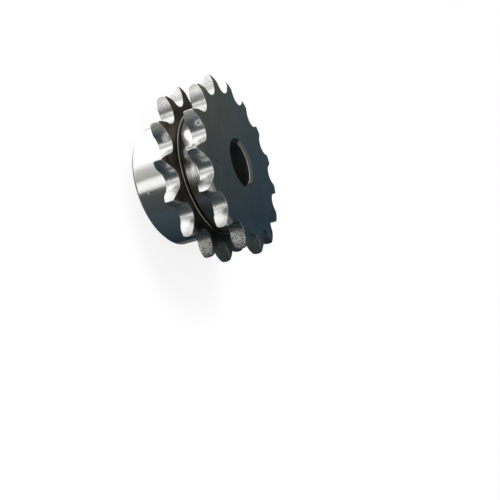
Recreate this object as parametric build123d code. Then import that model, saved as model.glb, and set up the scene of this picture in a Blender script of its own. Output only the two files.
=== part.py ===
from build123d import *
from math import asin, cos, degrees, pi, radians, sin, sqrt
import os

# Duplex roller chain sprocket with a hub on one side, turned and hobbed from one bar of steel.
# Millimetres. +Z runs along the bore. The part stands on its hub end at z = 0, toothed face up,
# and the middle of one tooth lies on +X.

# Chain that the teeth fit
tooth_count = 15
chain_pitch = 19.05
roller_diameter = 12.07
row_pitch = 19.46

# Tooth form, seen along the bore
tip_height = 4.63  # pitch circle to tip
tip_land = 0.3  # flat left on top of a tooth
seat_clearance = 0.06
seating_angle = 122.0

# Tooth rows, seen from the side
tooth_width = 8.0
tip_crown_height = 0.54  # the tip is domed along the bore and lower by this much at its shoulders
bevel_height = 4.7  # radially, from the shoulders inwards
bevel_depth = 1.55  # along the bore, at the shoulders
bevel_crown_radius = 14.0

# Groove between the rows
groove_floor_diameter = 68.6
groove_fillet_radius = 1.2

# Hub
overall_length = 49.2
hub_diameter = 69.0
hub_fillet_radius = 1.5
hub_chamfer = 1.8

# Bore
bore_diameter = 25.0
bore_chamfer = 1.5

# Places along the bore and radii that follow from the sizes above
front_face = overall_length
front_row_back = front_face - tooth_width
rear_row_front = front_face - row_pitch
rear_row_back = rear_row_front - tooth_width
groove_floor_radius = groove_floor_diameter / 2
hub_radius = hub_diameter / 2
bore_radius = bore_diameter / 2
pitch_radius = chain_pitch / 2 / sin(pi / tooth_count)
tip_radius = pitch_radius + tip_height
shoulder_radius = tip_radius - tip_crown_height
bevel_start_radius = shoulder_radius - bevel_height
seat_radius = roller_diameter / 2 + seat_clearance
tooth_step = 360 / tooth_count

# The cutter runs past the tips and past both ends of the rows by this much
cutter_overrun = 2.0


def bevel_arc(start, end):
    """Crowned side of the teeth: an arc of the crown radius that bulges away from the row's middle."""
    return RadiusArc(start, end, -bevel_crown_radius)


def row_section(back, front):
    """Lines of one tooth row's edge, from its back face, over the domed tip, to its front face."""
    back_start = (bevel_start_radius, back)
    back_shoulder = (shoulder_radius, back + bevel_depth)
    front_shoulder = (shoulder_radius, front - bevel_depth)
    front_start = (bevel_start_radius, front)
    bevel_arc(back_start, back_shoulder)
    ThreePointArc(back_shoulder, (tip_radius, (back + front) / 2), front_shoulder)
    bevel_arc(front_shoulder, front_start)


def fillet_arc(corner, along_a, along_b, radius):
    """Quarter round in a square inside corner, from the first leg to the second."""
    a = Vector(*corner) + Vector(*along_a) * radius
    b = Vector(*corner) + Vector(*along_b) * radius
    middle = Vector(*corner) + (Vector(*along_a) + Vector(*along_b)) * radius * (1 - sqrt(0.5))
    return ThreePointArc(a, middle, b)


def turned_blank():
    """The turned bar before the teeth are cut: rows, groove, hub and bore in one revolved section."""
    with BuildPart() as blank:
        with BuildSketch(Plane.XZ):
            with BuildLine():
                # Bore with a chamfer at each mouth
                Polyline(
                    (bore_radius + bore_chamfer, front_face),
                    (bore_radius, front_face - bore_chamfer),
                    (bore_radius, bore_chamfer),
                    (bore_radius + bore_chamfer, 0),
                )
                # Hub end and its chamfer
                Polyline(
                    (bore_radius + bore_chamfer, 0),
                    (hub_radius - hub_chamfer, 0),
                    (hub_radius, hub_chamfer),
                    (hub_radius, rear_row_back - hub_fillet_radius),
                )
                fillet_arc((hub_radius, rear_row_back), (0, -1), (1, 0), hub_fillet_radius)
                Line((hub_radius + hub_fillet_radius, rear_row_back), (bevel_start_radius, rear_row_back))
                row_section(rear_row_back, rear_row_front)
                # Groove for the link plates
                groove_wall = groove_floor_radius + groove_fillet_radius
                Line((bevel_start_radius, rear_row_front), (groove_wall, rear_row_front))
                fillet_arc((groove_floor_radius, rear_row_front), (1, 0), (0, 1), groove_fillet_radius)
                Line(
                    (groove_floor_radius, rear_row_front + groove_fillet_radius),
                    (groove_floor_radius, front_row_back - groove_fillet_radius),
                )
                fillet_arc((groove_floor_radius, front_row_back), (0, -1), (1, 0), groove_fillet_radius)
                Line((groove_wall, front_row_back), (bevel_start_radius, front_row_back))
                row_section(front_row_back, front_face)
                Line((bevel_start_radius, front_face), (bore_radius + bore_chamfer, front_face))
            make_face()
        revolve(axis=Axis.Z)
    return blank.part


def tooth_gap():
    """One gap between two teeth, centred on +X: the roller seat and a flank arc on each side, open above."""
    half_seat = radians(180 - seating_angle / 2)
    outward = Vector(cos(half_seat), sin(half_seat))
    seat_centre = Vector(pitch_radius, 0)
    seat_end = seat_centre + outward * seat_radius

    # Corner of the land on top of the next tooth
    land_angle = radians(tooth_step / 2) - asin(tip_land / 2 / tip_radius)
    land_corner = Vector(cos(land_angle), sin(land_angle)) * tip_radius

    # The flank leaves the seat without a kink, meets the land's corner, and goes on past the tip
    reach = land_corner - seat_end
    flank_radius = reach.dot(reach) / (2 * reach.dot(outward))
    flank_centre = seat_end + outward * flank_radius
    past_tip = degrees(cutter_overrun / flank_radius)
    flank_top = flank_centre + (land_corner - flank_centre).rotate(Axis.Z, past_tip)
    mouth = tip_radius + cutter_overrun

    with BuildPart() as gap:
        with BuildSketch(Plane.XY.offset(rear_row_back - cutter_overrun)):
            with BuildLine():
                ThreePointArc(seat_end, seat_centre - Vector(seat_radius, 0), Vector(seat_end.X, -seat_end.Y))
                upper = ThreePointArc(seat_end, land_corner, flank_top)
                mirror(upper, about=Plane.XZ)
                Polyline(
                    (flank_top.X, flank_top.Y),
                    (mouth, flank_top.Y),
                    (mouth, -flank_top.Y),
                    (flank_top.X, -flank_top.Y),
                )
            make_face()
        extrude(amount=row_pitch + tooth_width + 2 * cutter_overrun)
    return gap.part


def sprocket():
    """Blank with every gap cut through both rows at once, so that the two rows stay in line."""
    gap = tooth_gap()
    gaps = [Rot(0, 0, (number + 0.5) * tooth_step) * gap for number in range(tooth_count)]
    return turned_blank() - gaps


os.makedirs("parts", exist_ok=True)
body = sprocket()
export_step(body, "parts/sprocket.step")
print("volume", round(body.volume), "tip radius", round(tip_radius, 3))
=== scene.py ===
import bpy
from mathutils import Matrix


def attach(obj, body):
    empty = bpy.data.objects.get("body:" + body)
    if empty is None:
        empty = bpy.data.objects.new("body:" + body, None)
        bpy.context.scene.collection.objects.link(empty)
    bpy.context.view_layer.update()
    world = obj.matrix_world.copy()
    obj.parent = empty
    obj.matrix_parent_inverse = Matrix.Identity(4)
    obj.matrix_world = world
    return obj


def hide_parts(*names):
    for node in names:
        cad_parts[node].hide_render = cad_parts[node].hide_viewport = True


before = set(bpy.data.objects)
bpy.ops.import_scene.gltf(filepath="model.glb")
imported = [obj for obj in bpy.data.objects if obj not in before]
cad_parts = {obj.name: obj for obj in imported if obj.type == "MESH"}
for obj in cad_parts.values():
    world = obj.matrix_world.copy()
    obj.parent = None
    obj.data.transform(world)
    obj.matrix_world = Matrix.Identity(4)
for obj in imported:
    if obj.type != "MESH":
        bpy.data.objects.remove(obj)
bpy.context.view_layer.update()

import math

import bpy
import numpy as np
from mathutils import Matrix, Vector

# Duplex roller chain sprocket: bare turned and hobbed steel, seen from above its toothed face.
# Sizes are in millimetres and become metres where a mesh or a place is written.
MM = 0.001

# Chain that the teeth fit
tooth_count = 15
chain_pitch = 19.05
roller_diameter = 12.07
row_pitch = 19.46

# Tooth form, seen along the bore
tooth_step = 2 * math.pi / tooth_count
pitch_radius = chain_pitch / 2 / math.sin(math.pi / tooth_count)
tip_height = 4.63
tip_radius = pitch_radius + tip_height
tip_land = 0.3
seat_clearance = 0.06
seat_radius = roller_diameter / 2 + seat_clearance
seating_angle = 122.0
seat_half_angle = math.radians(seating_angle / 2)
land_corner_round = 0.26

# Tooth rows, seen from the side: domed tips, and a crowned bevel on both sides
tooth_width = 8.0
tip_crown_height = 0.54
shoulder_radius = tip_radius - tip_crown_height
bevel_height = 4.7
bevel_start = shoulder_radius - bevel_height
bevel_depth = 1.55
bevel_crown = 14.0

# Turned parts
front_face = 49.2
groove_floor_diameter = 68.6
groove_radius = groove_floor_diameter / 2
groove_fillet = 1.2
hub_diameter = 69.0
hub_radius = hub_diameter / 2
hub_fillet = 1.5
hub_chamfer = 1.8
bore_diameter = 25.0
bore_radius = bore_diameter / 2
bore_chamfer = 1.5

# Small rounds that break the edges. A tooth's edge wavers by a share of its width, as a burr does
tooth_edge = 0.11
burr_share = 0.35
burr_wavelengths = (6.0, 2.4, 1.1)
front_burr_seed = 31
rear_burr_seed = 57

# Points along half a tooth gap: on the seat, the flank, the land's corner and the land
seat_points, flank_points, corner_points, land_points = 10, 14, 3, 2


# Outline of the teeth


def arc(centre, radius, start, end, count):
    """Points and outward directions at equal angles on a circle, from start to end."""
    turn = np.linspace(start, end, count)
    away = np.stack([np.cos(turn), np.sin(turn)], 1)
    return centre + radius * away, away


def angle_of(vector):
    """Angle of a flat vector from +X, whose tangent is its y over its x."""
    return math.atan2(vector[1], vector[0])


def half_gap():
    """Half of a tooth gap centred on +X, from its bottom to the middle of the next tooth's land.

    It is a circle round the roller's seat, a circle that leaves it without a kink and meets the
    corner of the land, a small round on that corner, and the tip circle. Each point comes with the
    direction that looks out of the steel there.
    """
    seat_centre = np.array([pitch_radius, 0.0])
    out = np.array([-math.cos(seat_half_angle), math.sin(seat_half_angle)])
    seat_end = seat_centre + out * seat_radius
    land_angle = tooth_step / 2 - math.asin(tip_land / 2 / tip_radius)
    corner = tip_radius * np.array([math.cos(land_angle), math.sin(land_angle)])
    reach = corner - seat_end
    flank_radius = reach @ reach / (2 * reach @ out)
    flank_centre = seat_end + out * flank_radius

    # The corner round touches the flank circle and the tip circle from inside both
    a, b = flank_radius - land_corner_round, tip_radius - land_corner_round
    apart = np.linalg.norm(flank_centre)
    along = (b * b - a * a + apart * apart) / (2 * apart)
    across = math.sqrt(b * b - along * along)
    towards = flank_centre / apart
    round_centre = towards * along + np.array([towards[1], -towards[0]]) * across
    meets_flank = angle_of(round_centre - flank_centre)
    meets_land = angle_of(round_centre)

    seat, seat_out = arc(seat_centre, seat_radius, math.pi, math.pi - seat_half_angle, seat_points)
    flank, flank_out = arc(flank_centre, flank_radius, angle_of(-out), meets_flank, flank_points)
    turn, turn_out = arc(round_centre, land_corner_round, meets_flank, meets_land, corner_points)
    land, land_out = arc(np.zeros(2), tip_radius, meets_land, tooth_step / 2, land_points)
    points = np.concatenate([seat, flank[1:], turn[1:], land[1:]])
    away = np.concatenate([-seat_out, flank_out[1:], turn_out[1:], land_out[1:]])
    return points, away


def outline():
    """Whole outline: the half gap and its mirror image, turned round the bore once for each gap."""
    points, away = half_gap()
    flip = np.array([1.0, -1.0])
    points = np.concatenate([(points * flip)[:0:-1], points[:-1]])
    away = np.concatenate([(away * flip)[:0:-1], away[:-1]])
    turn = (np.arange(tooth_count) + 0.5) * tooth_step
    spin = np.stack([np.cos(turn), -np.sin(turn), np.sin(turn), np.cos(turn)], 1).reshape(-1, 2, 2)
    points = np.einsum("tij,pj->tpi", spin, points).reshape(-1, 2)
    away = np.einsum("tij,pj->tpi", spin, away).reshape(-1, 2)
    return points, away


# The outline's points, the directions out of the steel, the step from point to point, the way along
# the outline, and each point's distance and direction from the bore's axis
EDGE, EDGE_OUT = outline()
AROUND = len(EDGE)
STEP = np.linalg.norm(EDGE - np.roll(EDGE, 1, 0), axis=1)
ALONG_EDGE = np.cumsum(STEP)
REACH = np.linalg.norm(EDGE, axis=1)
DIRECTION = EDGE / REACH[:, None]

# The outline cut off at the tips' shoulders, and the directions out of the steel there
SHOULDER_REACH = np.minimum(REACH, shoulder_radius)
SHOULDER = DIRECTION * SHOULDER_REACH[:, None]
SHOULDER_OUT = np.where(REACH[:, None] > shoulder_radius, DIRECTION, EDGE_OUT)


def waver(wavelengths, seed):
    """A smooth random line round the outline: a sum of sines that close after one turn, from -1 to 1."""
    waves_each, fewest, most = 7, 0.8, 1.25
    local = np.random.default_rng(seed)
    total = ALONG_EDGE[-1]
    line = np.zeros(AROUND)
    for wavelength in wavelengths:
        waves = np.round(total / wavelength * local.uniform(fewest, most, waves_each))
        phase = local.uniform(0, 2 * math.pi, waves_each)
        line += np.sin(2 * math.pi * waves[:, None] * ALONG_EDGE / total + phase[:, None]).sum(0)
    return line / np.abs(line).max()


# Rings along the section


def bevel(radius):
    """Depth of the crowned bevel at a radius: a circle's sag that starts where the bevel starts."""
    chord = np.array([shoulder_radius - bevel_start, bevel_depth])
    length = np.linalg.norm(chord)
    normal = np.array([-chord[1], chord[0]]) / length
    centre = np.array([bevel_start, 0]) + chord / 2 + normal * math.sqrt(bevel_crown**2 - length**2 / 4)
    sag = centre[1] - np.sqrt(bevel_crown**2 - (radius - centre[0]) ** 2)
    return np.where(radius > bevel_start, sag, 0.0)


def dome(height):
    """Radius of the domed tips at a height over the row's middle: a circle through both shoulders."""
    half, rise = tooth_width / 2 - bevel_depth, tip_radius - shoulder_radius
    dome_radius = (half * half + rise * rise) / (2 * rise)
    return tip_radius - dome_radius + np.sqrt(dome_radius**2 - height**2)


class Section:
    """Rings that follow the section of the sprocket, each with its finish."""

    def __init__(self):
        self.x, self.y, self.z, self.finish = [], [], [], []

    def ring(self, xy, z, **finish):
        """One ring: a flat place and a height for each point of the outline."""
        self.x.append(xy[:, 0])
        self.y.append(xy[:, 1])
        self.z.append(np.broadcast_to(z, AROUND))
        self.finish.append(finish)

    def circle(self, radius, z, **finish):
        """A round ring: the radius times each point's direction from the axis, at one height."""
        self.ring(radius * DIRECTION, z, **finish)


# Radii of the rings on a row's sides, close together on the bevel and at its foot, and how far each
# stays within the outline. The rings further in keep the first inner step and one more each
BEVEL_RINGS = (49.45, 48.7, 47.8, 46.8, 45.9, 45.38, 45.21, 45.06)
FACE_STEPS = (0.1, 0.2, 0.3, 0.42, 0.54, 0.66, 0.8, 0.95)
FIRST_INNER_STEP, INNER_STEP = 1.2, 0.4

# Angles on the round at a tooth's edge, and shares of the way across the flank, front to back
EDGE_TURNS = (math.pi / 3, math.pi / 6, 0.0)
FLANK_SHARES = (0.04, 0.14, 0.26, 0.38, 0.5, 0.62, 0.74, 0.86, 0.96)

# Finish of the two outermost rings of a side, where a dark line runs along the face's lip:
# partly dark oxide, partly a painted shadow beside the burr
LIPS = (1.0, 0.8)


def side_rings(section, face, up, inner, edge_width, finish):
    """One side of a tooth row, between its edge round and the given inner radii.

    A ring's radius is the smaller of a fixed radius and the outline's own radius less a small step,
    so the rings run parallel to the gaps and round on the teeth. The height is the face less the
    bevel's depth at that radius. up is 1 on the side that looks along the bore, where the rings run
    outwards, and -1 on the other, where they run inwards.
    """
    start = SHOULDER - SHOULDER_OUT * edge_width[:, None]
    reach = np.linalg.norm(start, axis=1)
    towards = start / reach[:, None]
    targets = list(BEVEL_RINGS) + list(inner)
    steps = list(FACE_STEPS) + [FIRST_INNER_STEP + INNER_STEP * k for k in range(len(inner))]
    radii = [reach] + [np.minimum(reach - s, t) for s, t in zip(steps, targets)]
    lips = list(LIPS) + [0.0] * (len(radii) - len(LIPS))
    for radius, lip in list(zip(radii, lips))[::-up]:
        section.ring(towards * radius[:, None], face - up * bevel(radius), **finish, lip=lip)


def edge_rings(section, face, up, edge_width):
    """The round between a row's side and its tooth flanks: a quarter circle of the given width."""
    for turn in EDGE_TURNS[::up]:
        inset = edge_width * (1 - math.cos(turn))
        drop = edge_width * (1 - math.sin(turn))
        xy = SHOULDER - SHOULDER_OUT * inset[:, None]
        radius = np.linalg.norm(xy, axis=1)
        section.ring(xy, face - up * (bevel(radius) + drop), hobbed=1.0, edge=0.4)


def tooth_row(section, front, back, front_inner, back_inner, seed, finish):
    """A whole row: front side outwards, the flanks from front to back, and the back side inwards.

    A flank ring's height is a share of the way between the two edge rounds, and its radius is the
    smaller of the outline's own and the dome's at that height.
    """
    front_edge, back_edge = (
        tooth_edge * (1 + burr_share * waver(burr_wavelengths, seed + side)) for side in (0, 1)
    )
    side_rings(section, front, 1, front_inner, front_edge, finish)
    edge_rings(section, front, 1, front_edge)
    high = front - bevel(SHOULDER_REACH) - front_edge
    low = back + bevel(SHOULDER_REACH) + back_edge
    for share in FLANK_SHARES:
        height = high + (low - high) * share
        cut = np.minimum(REACH, dome(height - (front + back) / 2))
        section.ring(DIRECTION * cut[:, None], height, hobbed=1.0)
    edge_rings(section, back, -1, back_edge)
    side_rings(section, back, -1, back_inner, back_edge, {"film": 0.0, "shade": 1.0})


def quarter(section, centre_radius, centre_z, radius, start, end, count, **finish):
    """A fillet: rings at equal angles on a circle in the section. A finish may change ring by ring."""
    for number, turn in enumerate(np.linspace(start, end, count)):
        here = {key: value[number] if isinstance(value, tuple) else value for key, value in finish.items()}
        section.circle(centre_radius + radius * math.cos(turn), centre_z + radius * math.sin(turn), **here)


def sprocket_section():
    """The closed section, walked from the bore over the toothed face and the hub and back to the bore."""
    s = Section()
    front_back = front_face - tooth_width
    rear_front = front_face - row_pitch
    rear_back = rear_front - tooth_width
    up, left, down = math.pi / 2, math.pi, 1.5 * math.pi
    near = 0.2  # a ring this close to a turned edge keeps the corner crisp
    broken = 0.03  # a turned edge is broken by this much
    fillet_rings, corner_rings = 5, 7
    row_back_radii = (41.0, 38.5)

    # Bore, upwards, and the chamfer at the toothed face, whose mouth is a little rounder
    mouth = bore_radius + bore_chamfer
    wall_end = front_face - bore_chamfer
    mouth_start, mouth_drop, mouth_run = 0.18, 0.04, 0.12
    face_radii = (mouth + 0.4, 18.0, 24.0, 30.0)
    for z in (bore_chamfer + near, front_face / 2, wall_end - near):
        s.circle(bore_radius, z, bore=1.0)
    s.circle(bore_radius + broken, wall_end, bore=1.0, edge=0.5)
    s.circle(bore_radius + near, wall_end + near - broken, dull=1.0)
    s.circle(mouth - mouth_start, front_face - near, dull=1.0)
    s.circle(mouth, front_face - mouth_drop, dull=1.0)
    s.circle(mouth + mouth_run, front_face, film=1.0, lip=0.5)
    for radius in face_radii:
        s.circle(radius, front_face, film=1.0)

    front_radii = (42.0, 39.3, 36.5)
    tooth_row(s, front_face, front_back, front_radii, row_back_radii, front_burr_seed, {"film": 1.0})

    # Groove: fillet, floor, fillet. Oily brown and painted shade darken the second fillet, and a painted
    # highlight line runs round in it
    x, r = groove_radius + groove_fillet, groove_fillet
    floor_margin = 2.0
    quarter(s, x, front_back - r, r, up, left, fillet_rings, shade=0.7)
    for z in (front_back - floor_margin, (front_back + rear_front) / 2, rear_front + floor_margin):
        s.circle(groove_radius, z, core=1.0)
    oil_and_shade_in_corner = (0.9, 1.0, 1.0, 1.0, 0.3, 1.0, 1.0)
    light_line = (0.0, 0.0, 0.0, 0.0, 1.0, 0.0, 0.0)
    quarter(s, x, rear_front + r, r, left, down, corner_rings, shade=oil_and_shade_in_corner, fillet=light_line)

    rear_radii = (42.0, 39.3, 37.5)
    tooth_row(s, rear_front, rear_back, rear_radii, row_back_radii, rear_burr_seed, {"shade": 1.0})

    # Hub: fillet, where the oily brown and its painted shade fade out, then wall, chamfer and end
    x, r = hub_radius + hub_fillet, hub_fillet
    rim = hub_radius - hub_chamfer
    rim_break = 0.02
    hub_heights = (rear_back - 2.4, 12.0, 5.0, hub_chamfer + 0.3)
    hub_end_radii = (28.0, 22.0, 16.5, mouth + near)
    thinning_oil_and_shade = (1.0, 0.8, 0.6, 0.3, 0.0)
    quarter(s, x, rear_back - r, r, up, left, fillet_rings, shade=thinning_oil_and_shade)
    for z in hub_heights:
        s.circle(hub_radius, z)
    s.circle(hub_radius - rim_break, hub_chamfer, edge=1.0)
    s.circle(hub_radius - near, hub_chamfer - near)
    s.circle(rim + near, near)
    s.circle(rim, broken, edge=1.0)
    s.circle(rim - near, 0.0, seat=1.0)
    for radius in hub_end_radii:
        s.circle(radius, 0.0, seat=1.0)

    # The bore's mouth in the hub's end
    s.circle(mouth, broken, edge=1.0)
    s.circle(mouth - near, near)
    s.circle(bore_radius + near, bore_chamfer - near + broken)
    s.circle(bore_radius + broken, bore_chamfer, bore=1.0, edge=0.5)
    return s


# Finishes of the rings: the toothed face's oily film, oily brown with painted shade on the rows' hidden
# sides, hobbed flanks and tips, the bore, partly darkened as painted shade, the groove's floor, the hub's
# end, the painted highlight line in the groove's fillet, bright edges, a face's dark lip that is partly a
# painted shadow, and the bore's chamfer darkened as a painted reflection
FINISHES = ("film", "shade", "hobbed", "bore", "core", "seat", "fillet", "edge", "lip", "dull")


def grid_faces(rows, columns, rows_close=False, columns_close=False):
    """Quads of a grid of points kept row by row: each joins two rows and two columns.

    Where a grid closes, its last row or column also joins the first.
    """
    i = np.arange(rows if rows_close else rows - 1)
    j = np.arange(columns if columns_close else columns - 1)
    i, j = np.meshgrid(i, j, indexing="ij")
    i2, j2 = (i + 1) % rows, (j + 1) % columns
    corners = [i * columns + j, i2 * columns + j, i2 * columns + j2, i * columns + j2]
    return np.stack(corners, -1).reshape(-1, 4)


def placed(name, data):
    """An object for a mesh, a lamp or the camera, in the scene and at the origin."""
    made = bpy.data.objects.new(name, data)
    bpy.context.scene.collection.objects.link(made)
    return made


def closed_grid(name, section):
    """One closed mesh: rings along the section by points round the outline, joined as a torus of quads.

    Point (i, j) lies on ring i at outline place j. Each face joins two rings and two places, and the
    last ring joins the first. The map of the surface holds millimetres: round the outline, and along
    the section.
    """
    x, y, z = (np.stack(part) for part in (section.x, section.y, section.z))
    co = np.stack([x, y, z], -1).reshape(-1, 3) * MM
    faces = grid_faces(len(x), AROUND, True, True)
    mesh = bpy.data.meshes.new(name)
    mesh.vertices.add(len(co))
    mesh.vertices.foreach_set("co", co.astype(np.float32).ravel())
    mesh.loops.add(faces.size)
    mesh.loops.foreach_set("vertex_index", faces.astype(np.int32).ravel())
    mesh.polygons.add(len(faces))
    mesh.polygons.foreach_set("loop_start", np.arange(0, faces.size, 4, dtype=np.int32))
    mesh.polygons.foreach_set("use_smooth", np.ones(len(faces), bool))

    for finish in FINISHES:
        values = np.array([f.get(finish, 0.0) for f in section.finish])
        layer = mesh.attributes.new(finish, "FLOAT", "POINT")
        layer.data.foreach_set("value", np.repeat(values, AROUND).astype(np.float32))

    profile = np.stack([np.hypot(x, y).mean(1), z.mean(1)], 1)
    step = np.linalg.norm(np.roll(profile, -1, 0) - profile, axis=1)
    down = np.concatenate([[0], np.cumsum(step)])
    along = np.concatenate([[0], np.cumsum(np.roll(STEP, -1))])
    i, j = np.divmod(faces[:, 0], AROUND)
    u = np.stack([along[j], along[j], along[j + 1], along[j + 1]], -1)
    v = np.stack([down[i], down[i + 1], down[i + 1], down[i]], -1)
    layer = mesh.uv_layers.new(name="surface")
    layer.data.foreach_set("uv", np.stack([u, v], -1).astype(np.float32).ravel())
    mesh.update()
    mesh.validate()
    return placed(name, mesh)


# Material

# Colours of the steel. A pair is mixed by clouds or blotches
clean_steel = ((0.73, 0.73, 0.72), (0.79, 0.79, 0.78))
filmed_steel = ((0.27, 0.275, 0.275), (0.35, 0.36, 0.36))
wiped_film = (0.43, 0.435, 0.42)
# Oily brown on the rows' hidden sides and fillets, which is also painted shade there
brown_oil_and_shade = ((0.085, 0.064, 0.049), (0.155, 0.122, 0.098))
dark_oil_and_shade = ((0.075, 0.068, 0.054), (0.120, 0.112, 0.092))
hub_end_rust = ((0.26, 0.19, 0.13), (0.42, 0.37, 0.30))
# The bore's own grey, darkened further as painted shade inside the deep bore
bore_grey_and_shade = (0.42, 0.44, 0.44)
# The bore's chamfer: a painted dark reflection
dull_chamfer = (0.078, 0.080, 0.074)
# A face's dark lip: partly dark oxide, partly a painted shadow
lip_oxide_and_shadow = (0.07, 0.07, 0.07)
bright_edge = (0.72, 0.72, 0.71)

# Colours in the groove
rust_stain = (0.46, 0.37, 0.31)
grey_furrows = (0.26, 0.26, 0.24)
# A painted shadow on the groove's floor
floor_painted_shadow = (0.075, 0.08, 0.072)
shaded_floor = (0.22, 0.24, 0.24)
# Painted shade for the corner over the rear row
corner_painted_shade = (0.028, 0.028, 0.022)
# The light line in the groove's fillet is a painted highlight
painted_light_line = (0.86, 0.83, 0.76)

# Colours of wear and dirt
flank_mottle = (0.30, 0.29, 0.28)
rubbed_tips = (0.50, 0.49, 0.46)
grime = (0.36, 0.35, 0.31)
soot_specks = (0.05, 0.05, 0.045)
pit_bottoms = (0.06, 0.05, 0.045)
dried_drop = (0.42, 0.43, 0.41)
drop_middle = (0.16, 0.16, 0.15)
dent_shadow = (0.03, 0.035, 0.04)

# Marks of use and a painted gleam. Each is a place, the distance from it that the mark fills, and the one
# where it ends
drop_place = (38.2, 20.9, 47.2)
drop_spot = (drop_place, 1.35, 1.7)
drop_middle_spot = (drop_place, 0.5, 0.9)
smear_spot = ((36.3, 20.9, 27.1), 0.6, 2.4)
dent_spot = ((18.3, 26.8, 49.2), 0.45, 0.85)
nick_spot = ((15.0, 31.0, 7.4), 0.3, 0.7)
stain_spot = ((9.2, 33.0, 32.5), 1.0, 6.0)
gleam_spot = ((24.8, 23.7, 33.4), 0.4, 1.2)

# Noises: waves to a unit of their place, detail, roughness of the detail, and twist
cloud_noise = (55.0, 3.0, 0.55, 0.4)
blotch_noise = (160.0, 4.0, 0.6, 0.8)
grain_noise = (900.0, 3.0, 0.6)
speck_noise = (1750.0, 2.0, 0.5)
ridge_noise = (1.0, 2.0, 0.5)
streak_noise = (1.0, 3.0, 0.6)

# Waves of the tool marks: the lathe's and the groove's to the metre, the hob's to the millimetre.
# The wipe marks run across the toothed face and have their length and width in metres
lathe_waves = 4200.0
ridge_waves_along_bore, ridge_waves_across = 1500.0, 60.0
hob_waves = (0.55, 2.2, 1.0)
wipe_turn = math.radians(-69.1)
wipe_lengths = (0.03, 0.0011, 0.03)

# Ramps: where a mark starts and where it is full, and its shares there if they aren't 0 and 1.
# These run over the levels of a noise
wipe_levels = (0.45, 0.75, 0.0, 0.5)
rust_levels = (0.6, 0.75, 0.0, 0.4)
furrow_levels = (0.56, 0.44, 0.0, 0.85)
bright_levels = (0.4, 0.65)
mottle_levels = (0.52, 0.7, 0.0, 0.25)
rubbed_levels = (0.3, 0.6, 0.6, 1.0)
grime_levels = (0.3, 0.6, 0.25, 0.75)
soot_levels = (0.50, 0.57, 0.0, 0.95)
drop_levels = (0.35, 0.6, 0.6, 1.0)
pit_speck_levels, pit_patch_levels = (0.62, 0.67), (0.46, 0.54)

# These run over places in millimetres, along x, y or the bore. Pits are fewer off the hobbed parts
dark_oil_and_shade_x = (38.0, 20.0)
ridged_x = (23.5, 21.5)
furrows_x = (13.5, 16.5, 0.15, 1.0)
# The painted shadow on the groove's floor and its slanting edge
floor_shadow_x, floor_shadow_z = (19.5, 22.5), (31.8, 33.8, 0.96, 0.80)
floor_shadow_slope, floor_shadow_border = 0.589, (50.70, 50.35)
shaded_x = (6.0, -3.0, 0.0, 0.8)
corner_foot_z, corner_top_z = (29.78, 29.9), (31.6, 31.3)
line_x = (-16.0, -9.0)
rubbed_x, rubbed_y = (40.0, 45.5), (18.5, 20.0)
grimy_x, grimy_y = (-6.0, -13.0), (-10.0, 15.0, 0.35, 1.0)
grime_drift = 20.0
sooty_x = (-34.0, -26.0, 0.4, 1.0)
pits_by_hobbing = (0.0, 1.0, 0.15, 1.0)

# These give roughness, over the levels of a noise, and for grime over x
bare_polish, film_polish = (0.3, 0.7, 0.10, 0.17), (0.3, 0.7, 0.13, 0.20)
hobbed_polish, shade_polish = (0.3, 0.7, 0.22, 0.34), (0.3, 0.7, 0.34, 0.5)
seat_polish = (0.3, 0.7, 0.45, 0.65)
grime_polish = (-34.0, -26.0, 0.24, 0.42)
groove_polish, bore_polish, line_polish, drop_polish = 0.2, 0.22, 0.75, 0.62
pit_roughness, grime_dulls = 0.3, 0.7

# How much a mark covers the colour under it, and how much it takes from the metal's shine
lip_cover, rubbed_cover, pit_cover = 0.7, 0.6, 0.9
drop_middle_cover, smear_cover, gleam_cover = 0.7, 0.7, 0.35
drop_dulls, line_dulls, rubbed_dulls = 0.85, 0.4, 0.35

# Heights of the tool marks as multiples of the lathe's rings, the strength of all of them with the
# depth of those rings in millimetres, and how far the shine is drawn out along the marks
hob_height, pit_depth, uneven_height, ridge_height = 8.0, 6.0, 5.0, 38.0
relief_strength, relief_depth = 0.35, 0.01
drawn_out_shine = 0.4


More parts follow.
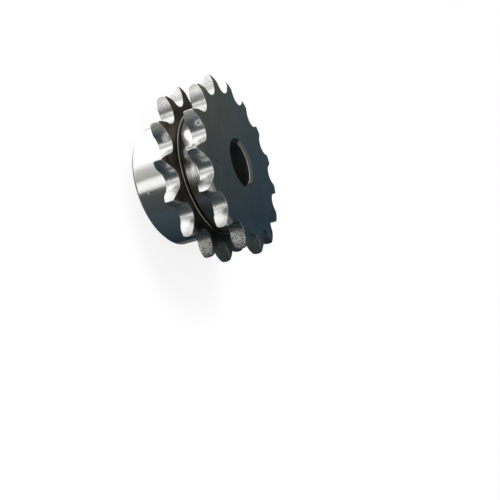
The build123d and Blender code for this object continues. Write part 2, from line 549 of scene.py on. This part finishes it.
class Recipe:
    """Short words for the nodes of a material or of the world."""

    def __init__(self, owner):
        owner.use_nodes = True
        self.nodes = owner.node_tree.nodes
        self.links = owner.node_tree.links

    def put(self, socket, value):
        """Gives a socket a number or a colour, or links another node's output to it."""
        if isinstance(value, bpy.types.NodeSocket):
            self.links.new(value, socket)
        else:
            socket.default_value = value

    def node(self, kind, **settings):
        """A new node with the given settings."""
        made = self.nodes.new(kind)
        for key, value in settings.items():
            setattr(made, key, value)
        return made

    def math(self, operation, a, b, clamp=False):
        """One sum on two numbers."""
        made = self.node("ShaderNodeMath", operation=operation, use_clamp=clamp)
        self.put(made.inputs[0], a)
        self.put(made.inputs[1], b)
        return made.outputs[0]

    def times(self, first, *others):
        """The numbers multiplied."""
        for other in others:
            first = self.math("MULTIPLY", first, other)
        return first

    def plus(self, first, *others):
        """The numbers added."""
        for other in others:
            first = self.math("ADD", first, other)
        return first

    def most(self, first, *others):
        """The largest of the numbers."""
        for other in others:
            first = self.math("MAXIMUM", first, other)
        return first

    def without(self, value):
        """1 less the value."""
        return self.math("SUBTRACT", 1.0, value)

    def pair(self, a, b):
        """A place made from two numbers."""
        made = self.node("ShaderNodeCombineXYZ")
        self.put(made.inputs[0], a)
        self.put(made.inputs[1], b)
        return made.outputs[0]

    def finish(self, name):
        """The mesh's own finish of that name."""
        return self.node("ShaderNodeAttribute", attribute_name=name).outputs["Fac"]

    def noise(self, place, waves, detail, rough, twist=0.0):
        """Cloudy noise from 0 to 1, with that many waves to a unit of the place."""
        made = self.node("ShaderNodeTexNoise")
        self.put(made.inputs["Vector"], place)
        self.put(made.inputs["Scale"], waves)
        self.put(made.inputs["Detail"], detail)
        self.put(made.inputs["Roughness"], rough)
        self.put(made.inputs["Distortion"], twist)
        return made.outputs["Fac"]

    def spread(self, value, low, high, to_low=0.0, to_high=1.0):
        """Maps low..high to to_low..to_high and holds the ends."""
        made = self.node("ShaderNodeMapRange", clamp=True)
        self.put(made.inputs["Value"], value)
        for key, number in (("From Min", low), ("From Max", high), ("To Min", to_low), ("To Max", to_high)):
            self.put(made.inputs[key], number)
        return made.outputs["Result"]

    def span(self, value, start, end, at_start=0.0, at_end=1.0):
        """The same for a place, with its start and end in millimetres."""
        return self.spread(value, start * MM, end * MM, at_start, at_end)

    def mix(self, share, a, b):
        """Colour a where share is 0 and b where it is 1."""
        made = self.node("ShaderNodeMix", data_type="RGBA")
        self.put(made.inputs[0], share)
        self.put(made.inputs[6], (*a, 1.0) if isinstance(a, tuple) else a)
        self.put(made.inputs[7], (*b, 1.0) if isinstance(b, tuple) else b)
        return made.outputs[2]

    def blend(self, share, a, b):
        """Number a where share is 0 and b where it is 1."""
        made = self.node("ShaderNodeMix", data_type="FLOAT")
        self.put(made.inputs[0], share)
        self.put(made.inputs[2], a)
        self.put(made.inputs[3], b)
        return made.outputs[0]

    def layer(self, share, a, b):
        """Shader a where share is 0 and b where it is 1."""
        made = self.node("ShaderNodeMixShader")
        self.put(made.inputs[0], share)
        self.put(made.inputs[1], a)
        self.put(made.inputs[2], b)
        return made.outputs[0]

    def along(self, place, turn, lengths):
        """Place measured along and across a direction turned round the bore, in the given lengths."""
        made = self.node("ShaderNodeMapping", vector_type="TEXTURE")
        self.put(made.inputs["Vector"], place)
        made.inputs["Rotation"].default_value = (0.0, 0.0, turn)
        made.inputs["Scale"].default_value = lengths
        return made.outputs["Vector"]

    def stretched(self, place, scale):
        """Place with each of its numbers multiplied by its own scale."""
        made = self.node("ShaderNodeMapping")
        self.put(made.inputs["Vector"], place)
        made.inputs["Scale"].default_value = scale
        return made.outputs["Vector"]


class Steel(Recipe):
    """The steel's places, finishes, noises and marks, from which its colour, polish and relief are mixed."""

    def __init__(self, material):
        super().__init__(material)
        self.shader = self.nodes["Principled BSDF"]
        self.place = self.node("ShaderNodeTexCoord").outputs["Object"]
        self.surface = self.node("ShaderNodeUVMap", uv_map="surface").outputs["UV"]
        split = self.node("ShaderNodeSeparateXYZ")
        self.put(split.inputs[0], self.place)
        self.x, self.y, self.z = split.outputs
        length = self.node("ShaderNodeVectorMath", operation="LENGTH")
        self.put(length.inputs[0], self.pair(self.x, self.y))
        self.radius = length.outputs["Value"]
        self.on = {name: self.finish(name) for name in FINISHES}

        # Clouds of oil and handling, blotches, fine grain, specks, and the groove's turned ridges
        self.cloud = self.noise(self.place, *cloud_noise)
        self.blotch = self.noise(self.place, *blotch_noise)
        self.grain = self.noise(self.place, *grain_noise)
        self.speck = self.noise(self.place, *speck_noise)
        waves = self.times(self.z, ridge_waves_along_bore), self.times(self.x, ridge_waves_across)
        self.ridges = self.noise(self.pair(*waves), *ridge_noise)
        self.ridged = self.times(self.on["core"], self.span(self.x, *ridged_x))
        self.marks()

    def spot(self, centre, inner, outer):
        """1 within the inner distance of a centre in millimetres, 0 beyond the outer one."""
        away = self.node("ShaderNodeVectorMath", operation="DISTANCE")
        self.put(away.inputs[0], self.place)
        self.put(away.inputs[1], tuple(c * MM for c in centre))
        return self.span(away.outputs["Value"], inner, outer, 1.0, 0.0)

    def marks(self):
        """Shares of pits, grime, the drop and its middle, the dent, the nick, rubbed tips and the line."""
        hobbed = self.on["hobbed"]
        pits = self.spread(self.speck, *pit_speck_levels), self.spread(self.blotch, *pit_patch_levels)
        self.pits = self.times(*pits, self.spread(hobbed, *pits_by_hobbing))

        # Grime lies on the teeth of one side, with a border that the clouds push about
        side = self.plus(self.x, self.times(self.math("SUBTRACT", self.cloud, 0.5), grime_drift * MM))
        self.grimy = self.times(self.span(side, *grimy_x), hobbed, self.span(self.y, *grimy_y))

        # The dried drop is a ring with a clearer middle. A smear dulls the tooth below it
        self.drop_middle = self.spot(*drop_middle_spot)
        ring = self.math("SUBTRACT", self.spot(*drop_spot), self.drop_middle)
        ring = self.times(ring, self.spread(self.blotch, *drop_levels))
        self.drop = self.most(ring, self.times(self.spot(*smear_spot), smear_cover))
        self.dent = self.spot(*dent_spot)
        self.nick = self.spot(*nick_spot)

        # The second tooth of each row is rubbed near its tip
        rubbed = self.times(self.span(self.x, *rubbed_x), self.span(self.y, *rubbed_y))
        self.rubbed = self.times(rubbed, hobbed, self.spread(self.blotch, *rubbed_levels))
        self.line = self.times(self.on["fillet"], self.span(self.x, *line_x))

    def base_colour(self):
        """Clean steel, the film with its wipe marks, oily brown with painted shade on the rows' sides, and
        rust on the hub's end.
        """
        clean = self.mix(self.cloud, *clean_steel)
        filmed = self.mix(self.cloud, *filmed_steel)
        wipes = self.noise(self.along(self.place, wipe_turn, wipe_lengths), *streak_noise)
        filmed = self.mix(self.spread(wipes, *wipe_levels), filmed, wiped_film)
        # The rows' hidden sides: oily brown, more olive towards low x, which also stands as painted shade
        brown, dark = self.mix(self.blotch, *brown_oil_and_shade), self.mix(self.blotch, *dark_oil_and_shade)
        oil_and_shade = self.mix(self.span(self.x, *dark_oil_and_shade_x), brown, dark)
        colour = self.mix(self.on["film"], clean, filmed)
        colour = self.mix(self.on["shade"], colour, oil_and_shade)
        return self.mix(self.on["seat"], colour, self.mix(self.blotch, *hub_end_rust))

    def groove_colour(self, colour):
        """The groove's floor: a rust stain, grey furrows, a painted shadow with a slanting edge, painted
        shade on one side, and painted shade in the corner.
        """
        core = self.on["core"]
        rust = self.times(self.spread(self.blotch, *rust_levels), self.ridged)
        rust = self.most(rust, self.spot(*stain_spot))
        colour = self.mix(self.times(core, rust), colour, rust_stain)
        furrows = self.times(self.ridged, self.spread(self.ridges, *furrow_levels))
        furrows = self.times(furrows, self.span(self.x, *furrows_x))
        colour = self.mix(furrows, colour, grey_furrows)

        # The painted shadow lies where height and a share of x together stay low, and is lighter round a
        # painted gleam
        slant = self.plus(self.z, self.times(self.x, floor_shadow_slope))
        floor_shadow = self.times(self.span(slant, *floor_shadow_border), self.span(self.x, *floor_shadow_x))
        outside_gleam = self.without(self.times(self.spot(*gleam_spot), gleam_cover))
        floor_shadow = self.times(floor_shadow, self.span(self.z, *floor_shadow_z), outside_gleam)
        colour = self.mix(self.times(core, floor_shadow), colour, floor_painted_shadow)
        colour = self.mix(self.times(core, self.span(self.x, *shaded_x)), colour, shaded_floor)

        # Painted shade in the corner over the rear row, beside the light line
        corner = self.times(self.span(self.z, *corner_foot_z), self.span(self.z, *corner_top_z))
        corner = self.times(corner, self.without(self.line))
        return self.mix(corner, colour, corner_painted_shade)

    def flank_colour(self, colour):
        """The tooth flanks: mottled, rubbed near two tips, and grimy and sooty on one side."""
        mottle = self.times(self.spread(self.blotch, *mottle_levels), self.on["hobbed"])
        colour = self.mix(mottle, colour, flank_mottle)
        colour = self.mix(self.times(self.rubbed, rubbed_cover), colour, rubbed_tips)
        patchy = self.times(self.grimy, self.spread(self.blotch, *grime_levels))
        colour = self.mix(patchy, colour, grime)
        soot = self.times(self.grimy, self.spread(self.speck, *soot_levels))
        soot = self.times(soot, self.span(self.x, *sooty_x))
        return self.mix(soot, colour, soot_specks)

    def colour(self):
        """The whole colour, laid on in order from the bare steel to the last marks."""
        colour = self.groove_colour(self.base_colour())
        # The bore, its grey darkened as painted shade
        colour = self.mix(self.on["bore"], colour, bore_grey_and_shade)
        # The bore's chamfer, darkened as a painted dark reflection
        colour = self.mix(self.on["dull"], colour, dull_chamfer)
        # The light line: a painted highlight in the groove's fillet
        colour = self.mix(self.line, colour, painted_light_line)
        # The dark lip along a face's edge, partly a painted shadow
        colour = self.mix(self.times(self.on["lip"], lip_cover), colour, lip_oxide_and_shadow)
        edge = self.times(self.on["edge"], self.spread(self.grain, *bright_levels))
        colour = self.flank_colour(self.mix(edge, colour, bright_edge))
        colour = self.mix(self.times(self.pits, pit_cover), colour, pit_bottoms)
        colour = self.mix(self.drop, colour, dried_drop)
        colour = self.mix(self.times(self.drop_middle, drop_middle_cover), colour, drop_middle)
        return self.mix(self.dent, colour, dent_shadow)

    def roughness(self):
        """Roughness: lowest on the turned parts, higher on hobbed flanks, the oily sides and rust, highest in
        dirt.
        """
        bare = self.spread(self.cloud, *bare_polish)
        filmed = self.spread(self.cloud, *film_polish)
        rough = self.blend(self.on["core"], self.blend(self.on["film"], bare, filmed), groove_polish)
        for finish, polish in (("hobbed", hobbed_polish), ("shade", shade_polish), ("seat", seat_polish)):
            rough = self.blend(self.on[finish], rough, self.spread(self.blotch, *polish))
        rough = self.math("ADD", rough, self.times(self.pits, pit_roughness), True)
        grime_rough = self.span(self.x, *grime_polish)
        rough = self.blend(self.times(self.grimy, grime_dulls), rough, grime_rough)
        rough = self.blend(self.on["bore"], rough, bore_polish)
        rough = self.blend(self.on["fillet"], rough, line_polish)
        return self.blend(self.most(self.drop, self.nick), rough, drop_polish)

    def metal(self):
        """1 on bare metal, and less where the drop, the light line or rubbed tips cover it or take its shine.
        """
        cover = self.most(self.times(self.drop, drop_dulls), self.times(self.line, line_dulls))
        return self.without(self.most(cover, self.times(self.rubbed, rubbed_dulls)))

    def relief(self):
        """Height of the tool marks: the lathe's rings, the hob's scallops, pits, and ridges in the groove."""
        hobbed = self.on["hobbed"]
        lathe = self.pair(self.times(self.radius, lathe_waves), self.times(self.z, lathe_waves))
        rings = self.times(self.noise(lathe, *streak_noise), self.without(hobbed))
        hob = self.noise(self.stretched(self.surface, hob_waves), *streak_noise)
        height = self.plus(rings, self.times(hob, self.times(hobbed, hob_height)))
        height = self.math("SUBTRACT", height, self.times(self.pits, pit_depth))
        uneven = self.times(hobbed, uneven_height)
        height = self.plus(height, self.times(self.blotch, uneven), self.times(self.grain, uneven))
        return self.plus(height, self.times(self.ridges, self.times(self.ridged, ridge_height)))


def machined_steel():
    """Bare steel: turned, hobbed and filmed parts of one bar, told apart by the finish of each ring."""
    material = bpy.data.materials.new("machined_steel")
    steel = Steel(material)
    sockets = steel.shader.inputs
    steel.put(sockets["Base Color"], steel.colour())
    steel.put(sockets["Roughness"], steel.roughness())
    steel.put(sockets["Metallic"], steel.metal())
    sockets["Anisotropic"].default_value = drawn_out_shine
    tangent = steel.node("ShaderNodeTangent", direction_type="UV_MAP", uv_map="surface")
    steel.put(sockets["Tangent"], tangent.outputs[0])
    bump = steel.node("ShaderNodeBump")
    bump.inputs["Strength"].default_value = relief_strength
    bump.inputs["Distance"].default_value = relief_depth * MM
    steel.put(bump.inputs["Height"], steel.relief())
    steel.put(sockets["Normal"], bump.outputs[0])
    return material


# The part

sprocket = closed_grid("sprocket_steel", sprocket_section())
sprocket.data.materials.append(machined_steel())
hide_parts("sprocket")
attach(sprocket, "root")


# Camera

camera_place = Vector((139.402, 283.605, 169.303)) * MM
camera_right = Vector((-0.41621, -0.15883, 0.89529))
camera_down = Vector((-0.7405, 0.63059, -0.23239))
camera_ahead = Vector((-0.52765, -0.75969, -0.38007))
focal_pixels = 610.1
photo_pixels = 500

camera = bpy.data.cameras.new("camera")
camera.sensor_width = 36.0
camera.lens = focal_pixels / photo_pixels * camera.sensor_width
camera.clip_start = 0.01
camera_object = placed("camera", camera)
turned = Matrix((camera_right, -camera_down, -camera_ahead)).transposed().to_4x4()
camera_object.matrix_world = Matrix.Translation(camera_place) @ turned
bpy.context.scene.camera = camera_object
bpy.context.scene.view_settings.view_transform = "Standard"


# Floor, light and cards

white = (1.0, 1.0, 1.0, 1.0)
floor_paint = (0.86, 0.86, 0.86, 1.0)
floor_radii = (0.00001, 0.2, 0.6, 1.5, 6.0)  # metres, from a pinpoint outwards
floor_corners = 96
world_light = 0.6
floor_whiteness = 0.8
card_distance = 0.8
card_columns, card_rows = 25, 13
middle_height = front_face / 2 * MM


def background_share(recipe):
    """1 for rays that should see the white background: from the camera, off metal and through glass."""
    path = recipe.node("ShaderNodeLightPath").outputs
    return recipe.most(path["Is Camera Ray"], path["Is Glossy Ray"], path["Is Transmission Ray"])


def white_world():
    """Even light from all round, and plain white wherever the background itself is seen."""
    world = bpy.data.worlds.new("studio")
    bpy.context.scene.world = world
    recipe = Recipe(world)
    soft, plain = recipe.nodes["Background"], recipe.node("ShaderNodeBackground")
    for background, strength in ((soft, world_light), (plain, 1.0)):
        background.inputs["Color"].default_value = white
        background.inputs["Strength"].default_value = strength
    mixed = recipe.layer(background_share(recipe), soft.outputs[0], plain.outputs[0])
    recipe.put(recipe.nodes["World Output"].inputs[0], mixed)


def pale_floor():
    """A round floor under the hub, white to the camera and still shaded by the part.

    It is a flat disc of rings: each radius times the cosine and sine of equal turns.
    """
    turn = np.linspace(0, 2 * math.pi, floor_corners + 1)[:-1]
    radii = np.array(floor_radii)[:, None]
    co = np.stack([radii * np.cos(turn), radii * np.sin(turn), 0 * radii * turn], -1)
    faces = grid_faces(len(radii), floor_corners, columns_close=True)
    mesh = bpy.data.meshes.new("floor")
    mesh.from_pydata(co.reshape(-1, 3).tolist(), [], faces.tolist())
    floor = placed("floor", mesh)
    material = bpy.data.materials.new("pale_floor")
    recipe = Recipe(material)
    paint = recipe.nodes["Principled BSDF"]
    paint.inputs["Base Color"].default_value = floor_paint
    paint.inputs["Roughness"].default_value = 0.9
    glow = recipe.node("ShaderNodeEmission")
    glow.inputs["Color"].default_value = white
    share = recipe.times(background_share(recipe), floor_whiteness)
    mixed = recipe.layer(share, paint.outputs[0], glow.outputs[0])
    recipe.put(recipe.nodes["Material Output"].inputs[0], mixed)
    floor.data.materials.append(material)
    floor.visible_glossy = False


def card(name, azimuth, elevation, colour, far_colour=None):
    """A curved card outside the view for the bare metal to reflect: a patch of a sphere round the part.

    A point is the distance times the cosines and sines of its azimuth and elevation, over the part's
    middle. The colour changes evenly with the azimuth, from the first one to the far one.
    """
    az = np.radians(np.linspace(*azimuth, card_columns))
    el = np.radians(np.linspace(*elevation, card_rows))
    az, el = np.meshgrid(az, el, indexing="ij")
    co = np.stack([np.cos(az) * np.cos(el), np.sin(az) * np.cos(el), np.sin(el)], -1) * card_distance
    co[..., 2] += middle_height
    faces = grid_faces(card_columns, card_rows)[:, [0, 3, 2, 1]]
    mesh = bpy.data.meshes.new(name)
    mesh.from_pydata(co.reshape(-1, 3).tolist(), [], faces.tolist())
    made = placed(name, mesh)
    material = bpy.data.materials.new(name)
    recipe = Recipe(material)
    recipe.nodes.remove(recipe.nodes["Principled BSDF"])
    glow = recipe.node("ShaderNodeEmission")
    paint = recipe.node("ShaderNodeAttribute", attribute_name="paint")
    recipe.put(glow.inputs["Color"], paint.outputs["Color"])
    recipe.put(recipe.nodes["Material Output"].inputs[0], glow.outputs[0])
    mesh.materials.append(material)
    share = np.linspace(0, 1, card_columns)[:, None, None]
    tone = np.ones((card_columns, card_rows, 4))
    tone[..., :3] = np.array(colour) * (1 - share) + np.array(far_colour or colour) * share
    layer = mesh.attributes.new("paint", "FLOAT_COLOR", "POINT")
    layer.data.foreach_set("color", tone.astype(np.float32).ravel())
    made.visible_camera = False
    made.visible_diffuse = False
    made.visible_shadow = False


def lamp(name, kind, place, softness, power):
    """A soft lamp that points at the middle of the part. The metal shows the cards, not the lamps."""
    light = bpy.data.lights.new(name, kind)
    light.energy = power
    if kind == "SUN":
        light.angle = softness
    else:
        light.size = softness
    made = placed(name, light)
    made.location = Vector(place)
    made.visible_glossy = False
    aim = Vector((0.0, 0.0, middle_height)) - made.location
    made.rotation_euler = aim.to_track_quat("-Z", "Y").to_euler()


# Spans of elevation in degrees, seen from the part
underneath = (-80.0, -8.0)
beside = (-8.0, 22.0)
upright = (-80.0, 22.0)
tall = (-80.0, 30.0)
low_sky = (-7.0, 21.6)
middle_sky = (21.6, 37.0)

soft_white = (1.38, 1.38, 1.38)

white_world()
pale_floor()
card("rim_card", (-165.0, -97.0), underneath, (0.15, 0.15, 0.13), (0.02, 0.025, 0.035))
card("left_card", (-97.0, -88.0), underneath, (0.15, 0.15, 0.16), (1.3, 1.3, 1.3))
card("soft_box", (-88.0, 12.0), underneath, soft_white)
card("upper_soft_box", (-68.0, 12.0), beside, soft_white)
card("grey_card", (18.0, 40.0), upright, (0.72, 0.72, 0.69), (0.40, 0.40, 0.375))
card("bright_strip", (44.0, 55.0), upright, (1.25, 1.25, 1.24))
card("dark_card", (60.0, 104.0), tall, (0.085, 0.09, 0.085), (0.055, 0.068, 0.078))
card("blue_card", (104.0, 200.0), tall, (0.060, 0.082, 0.098), (0.010, 0.022, 0.034))
card("low_blue_sky", (200.0, 236.0), low_sky, (0.035, 0.080, 0.118), (0.042, 0.085, 0.123))
card("low_grey_sky", (236.0, 290.0), low_sky, (0.042, 0.085, 0.123), (0.24, 0.28, 0.30))
card("blue_sky", (200.0, 236.0), middle_sky, (0.035, 0.080, 0.115), (0.050, 0.085, 0.115))
card("grey_sky", (236.0, 290.0), middle_sky, (0.052, 0.085, 0.112), (0.37, 0.33, 0.19))
card("pale_sky", (200.0, 246.0), (37.0, 62.0), (0.20, 0.20, 0.17), (0.50, 0.50, 0.46))
card("dusk_sky", (246.0, 290.0), (37.0, 76.0), (0.16, 0.17, 0.145))
lamp("key", "SUN", (0.5, -0.3, 0.75), math.radians(30.0), 2.2)
lamp("fill", "AREA", (0.2, 0.6, 0.6), 0.6, 3.0)
